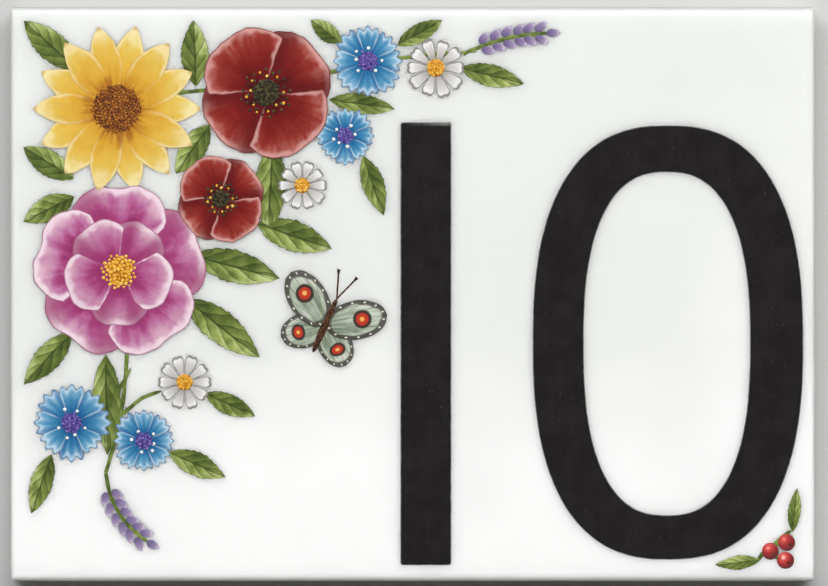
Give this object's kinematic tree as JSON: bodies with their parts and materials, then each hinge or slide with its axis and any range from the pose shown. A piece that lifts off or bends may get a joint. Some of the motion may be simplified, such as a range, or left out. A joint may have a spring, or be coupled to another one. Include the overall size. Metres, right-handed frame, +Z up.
{
  "type": "house number plaque",
  "caption": "Rectangular glazed ceramic house number tile with cushion edges, painted numerals, a floral corner garland and a keyed back for cementing to a wall.",
  "frame": {"origin": "middle of the tile's back face, on the rib between two rows of keying recesses", "axes": "+X to the right as the number is read, +Y out of the back into the wall, +Z up"},
  "size_m": [0.1778, 0.0069, 0.127],
  "materials": {
    "glazed_tile": "gloss white glaze on the face and edges, bare fired clay on the back",
    "black_enamel": "satin fired enamel",
    "pink_enamel": "gloss fired enamel",
    "yellow_enamel": "gloss fired enamel",
    "red_enamel": "gloss fired enamel",
    "blue_enamel": "gloss fired enamel",
    "white_enamel": "gloss fired enamel",
    "gold_enamel": "gloss fired enamel",
    "brown_enamel": "gloss fired enamel",
    "violet_enamel": "gloss fired enamel",
    "grey_enamel": "gloss fired enamel",
    "green_enamel": "gloss fired enamel"
  },
  "bodies": {
    "root": {"tile": "glazed_tile", "numeral_one": "black_enamel", "numeral_zero": "black_enamel", "rose_petals": "pink_enamel", "rose_centre": "gold_enamel", "sunflower_petals": "yellow_enamel", "sunflower_centre": "brown_enamel", "poppy_petals": "red_enamel", "poppy_centres": "brown_enamel", "cornflower_petals": "blue_enamel", "cornflower_centres": "violet_enamel", "daisy_petals": "white_enamel", "daisy_centres": "gold_enamel", "lavender_buds": "violet_enamel", "butterfly_wings": "grey_enamel", "butterfly_body": "brown_enamel", "berries": "red_enamel", "foliage": "green_enamel"}
  },
  "joints": []
}
